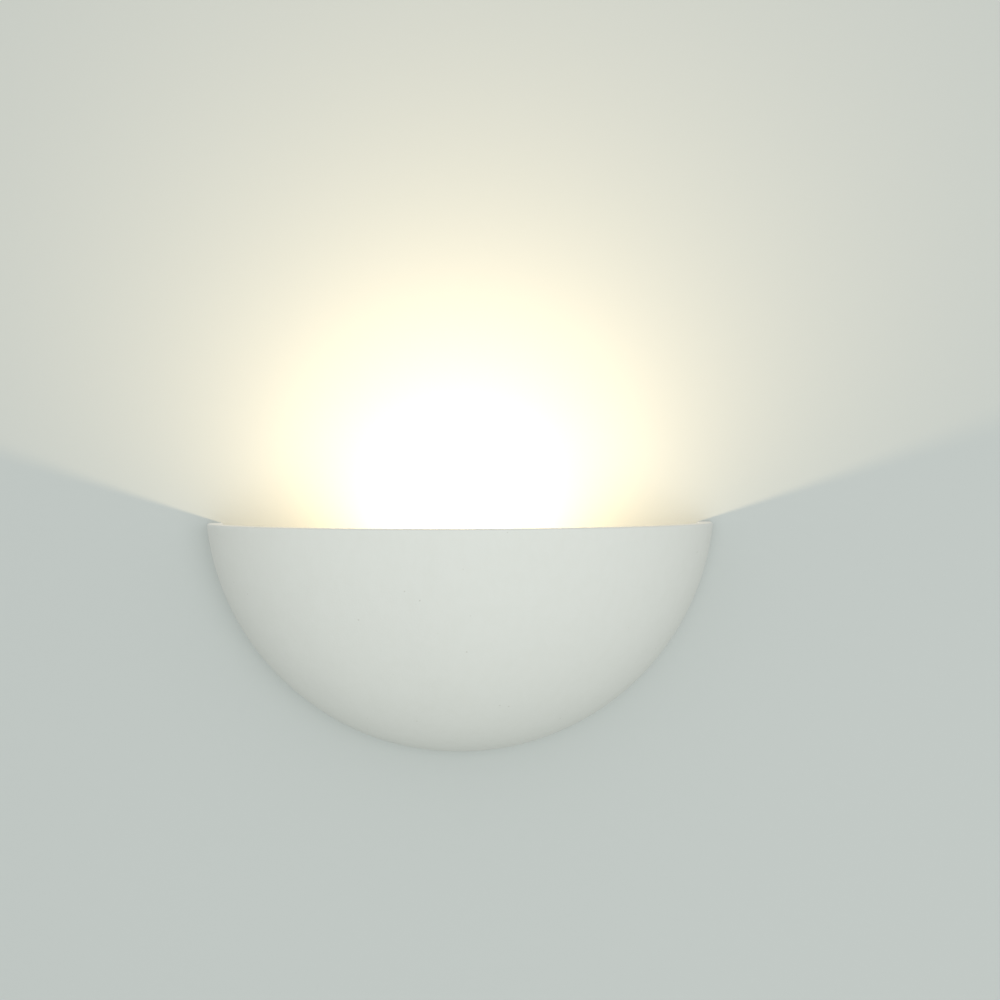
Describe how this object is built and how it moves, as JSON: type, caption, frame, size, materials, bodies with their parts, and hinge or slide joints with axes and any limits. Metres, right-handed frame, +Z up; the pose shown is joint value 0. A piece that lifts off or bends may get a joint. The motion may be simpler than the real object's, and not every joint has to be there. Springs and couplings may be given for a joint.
{
  "type": "uplighter wall sconce",
  "caption": "Half-bowl plaster uplighter for a wall: an open-topped cast shade on a steel wall plate, with a small screw-cap lamp lying level inside it.",
  "frame": {"origin": "midway between the two wall fixings, on the wall, at the back face of the wall plate", "axes": "seen from the front, +X right, +Y into the wall, +Z up; the object lies at negative Y"},
  "size_m": [0.3098, 0.1149, 0.14],
  "materials": {
    "plaster": "matte",
    "zinc_steel": "satin",
    "screw_steel": "satin",
    "brass": "satin",
    "rubber": "matte",
    "steatite": "gloss",
    "holder_plastic": "satin",
    "opal_glass": "gloss",
    "clear_glass": "gloss",
    "cap_metal": "satin",
    "black_glass": "gloss",
    "solder": "satin",
    "filament": "satin",
    "block_plastic": "satin",
    "insulation_brown": "satin",
    "insulation_blue": "satin",
    "insulation_earth": "satin",
    "copper": "satin"
  },
  "bodies": {
    "wall_side": {"wall_plate": "zinc_steel", "shade_studs": "screw_steel", "cable_grommet": "rubber", "lamp_bracket": "zinc_steel", "bracket_screws": "screw_steel", "holder_body": "steatite", "holder_cover": "holder_plastic", "holder_sleeve": "brass", "holder_contact": "brass", "holder_terminals": "brass", "holder_terminal_screws": "screw_steel", "holder_nipple": "brass", "nipple_washer": "zinc_steel", "nipple_nut": "brass", "terminal_block": "block_plastic", "block_clamps": "brass", "block_clamp_screws": "screw_steel", "block_screws": "screw_steel", "earth_stud": "screw_steel", "earth_washer": "zinc_steel", "earth_nut": "brass", "earth_lug": "zinc_steel", "wire_live": "insulation_brown", "wire_neutral": "insulation_blue", "wire_earth": "insulation_earth", "wire_ends": "copper"},
    "shade": {"plaster_shade": "plaster"},
    "washer_left": {"nut_washer_left": "zinc_steel"},
    "nut_left": {"thumb_nut_left": "brass"},
    "washer_right": {"nut_washer_right": "zinc_steel"},
    "nut_right": {"thumb_nut_right": "brass"},
    "bulb_foot": {"bulb_contact": "solder"},
    "bulb": {"bulb_glass": "opal_glass", "bulb_cap": "cap_metal", "bulb_insulator": "black_glass", "bulb_stem": "clear_glass", "bulb_filament": "filament"}
  },
  "joints": [
    {"name": "shade_slide", "type": "slide", "parent": "wall_side", "child": "shade", "axis": [0, -1, 0], "range_m": [0, 0.13]},
    {"name": "washer_left_rise", "type": "slide", "parent": "wall_side", "child": "washer_left", "axis": [0, 0, 1], "range_m": [0, 0.0021]},
    {"name": "thumb_nut_left_turn", "type": "hinge", "parent": "washer_left", "child": "nut_left", "pos_m": [-0.1091, -0.014, 0.033], "axis": [0, 0, 1], "range_deg": [0, 1080]},
    {"name": "washer_right_rise", "type": "slide", "parent": "wall_side", "child": "washer_right", "axis": [0, 0, 1], "range_m": [0, 0.0021]},
    {"name": "thumb_nut_right_turn", "type": "hinge", "parent": "washer_right", "child": "nut_right", "pos_m": [0.1091, -0.014, 0.033], "axis": [0, 0, 1], "range_deg": [0, 1080]},
    {"name": "bulb_travel", "type": "slide", "parent": "wall_side", "child": "bulb_foot", "axis": [1, 0, 0], "range_m": [0, 0.00846]},
    {"name": "bulb_turn", "type": "hinge", "parent": "bulb_foot", "child": "bulb", "pos_m": [-0.0555, -0.05, 0.03], "axis": [1, 0, 0], "range_deg": [0, 1080]}
  ],
  "couplings": [
    {"joint": "thumb_nut_left_turn", "follows": "washer_left_rise", "rad_per_m": 8976},
    {"joint": "thumb_nut_right_turn", "follows": "washer_right_rise", "rad_per_m": 8976},
    {"joint": "bulb_turn", "follows": "bulb_travel", "rad_per_m": 2228.1}
  ]
}
